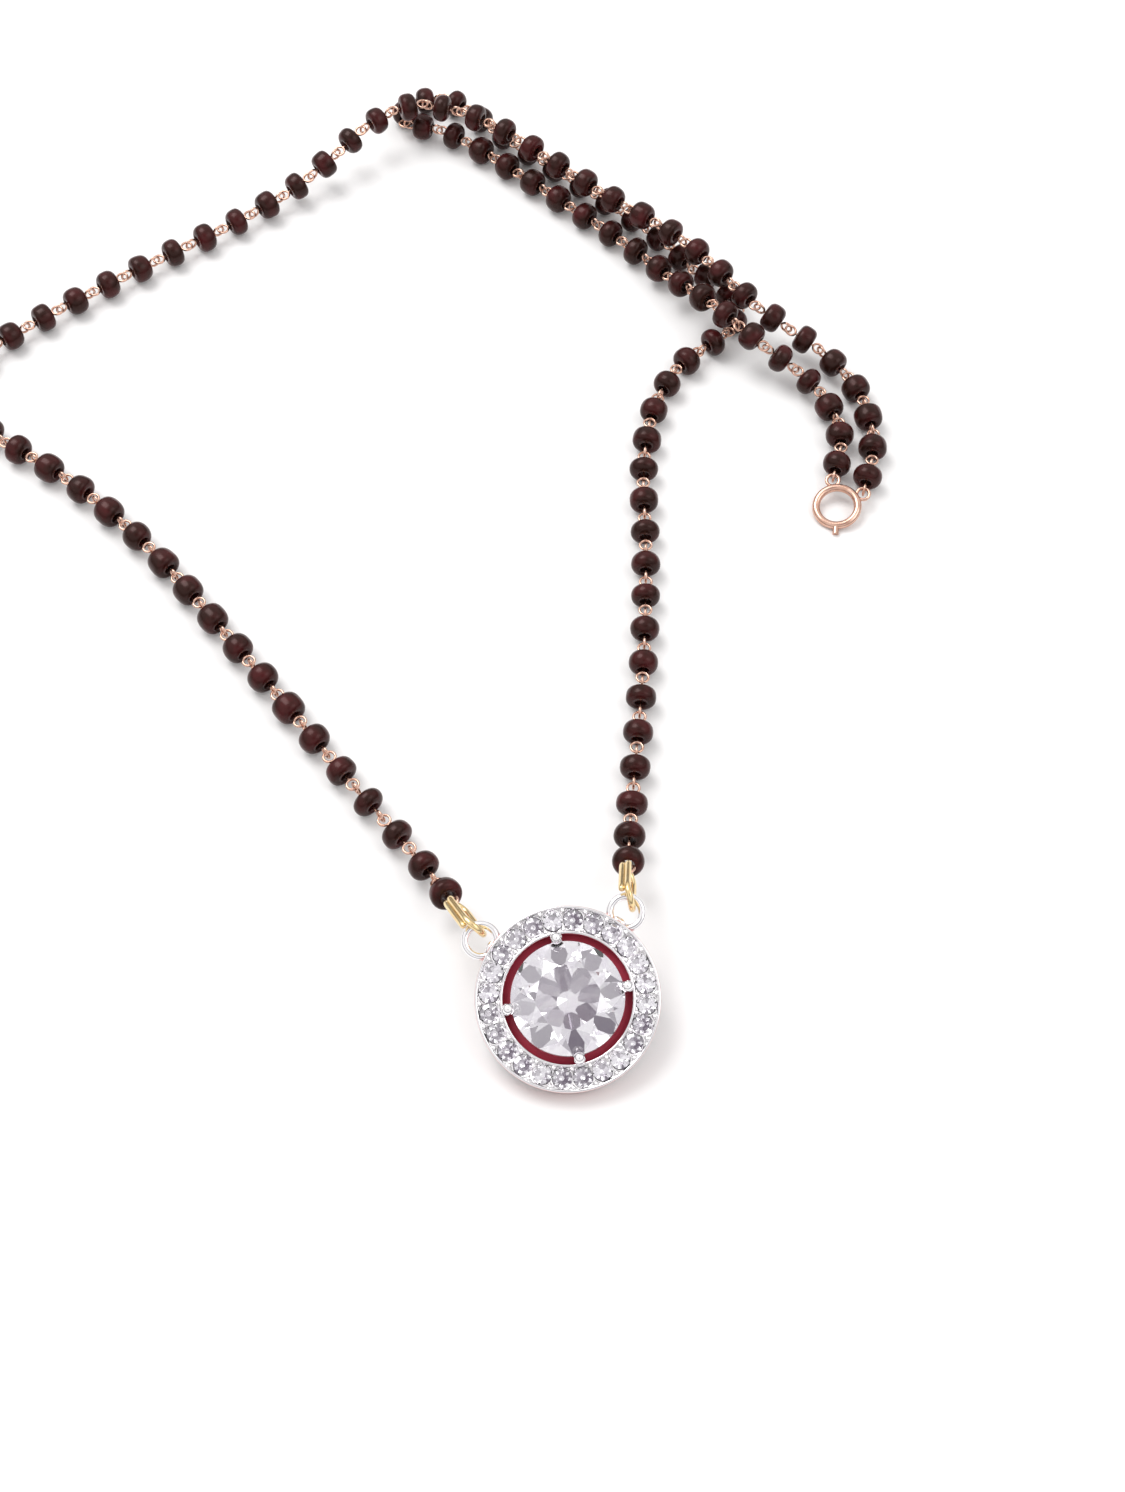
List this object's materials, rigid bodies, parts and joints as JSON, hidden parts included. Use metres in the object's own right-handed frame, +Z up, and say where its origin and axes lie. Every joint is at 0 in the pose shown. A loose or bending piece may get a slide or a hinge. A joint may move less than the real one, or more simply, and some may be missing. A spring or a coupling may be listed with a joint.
{
  "type": "mangalsutra necklace",
  "caption": "Necklace of black glass beads on linked gold pins, closed by a ring clasp, with a round halo pendant, lying on a surface.",
  "frame": {"origin": "on the surface that the necklace lies on, under the middle of its outline", "axes": "+Z up from the surface, +Y from the pendant towards the clasp's side, +X to the wearer's left"},
  "size_m": [0.0859, 0.1095, 0.0075],
  "materials": {
    "silver": "polished white metal",
    "clear_stone": "faceted and polished",
    "gold": "polished, a little rosy",
    "black_glass": "polished, opaque"
  },
  "bodies": {
    "root": {"pendant_frame": "silver", "centre_stone": "clear_stone", "halo_stones": "clear_stone", "oval_ring_left": "gold", "oval_ring_right": "gold", "clasp": "gold", "beads_left": "black_glass", "beads_right": "black_glass", "pins_left": "gold", "pins_right": "gold"}
  },
  "joints": []
}
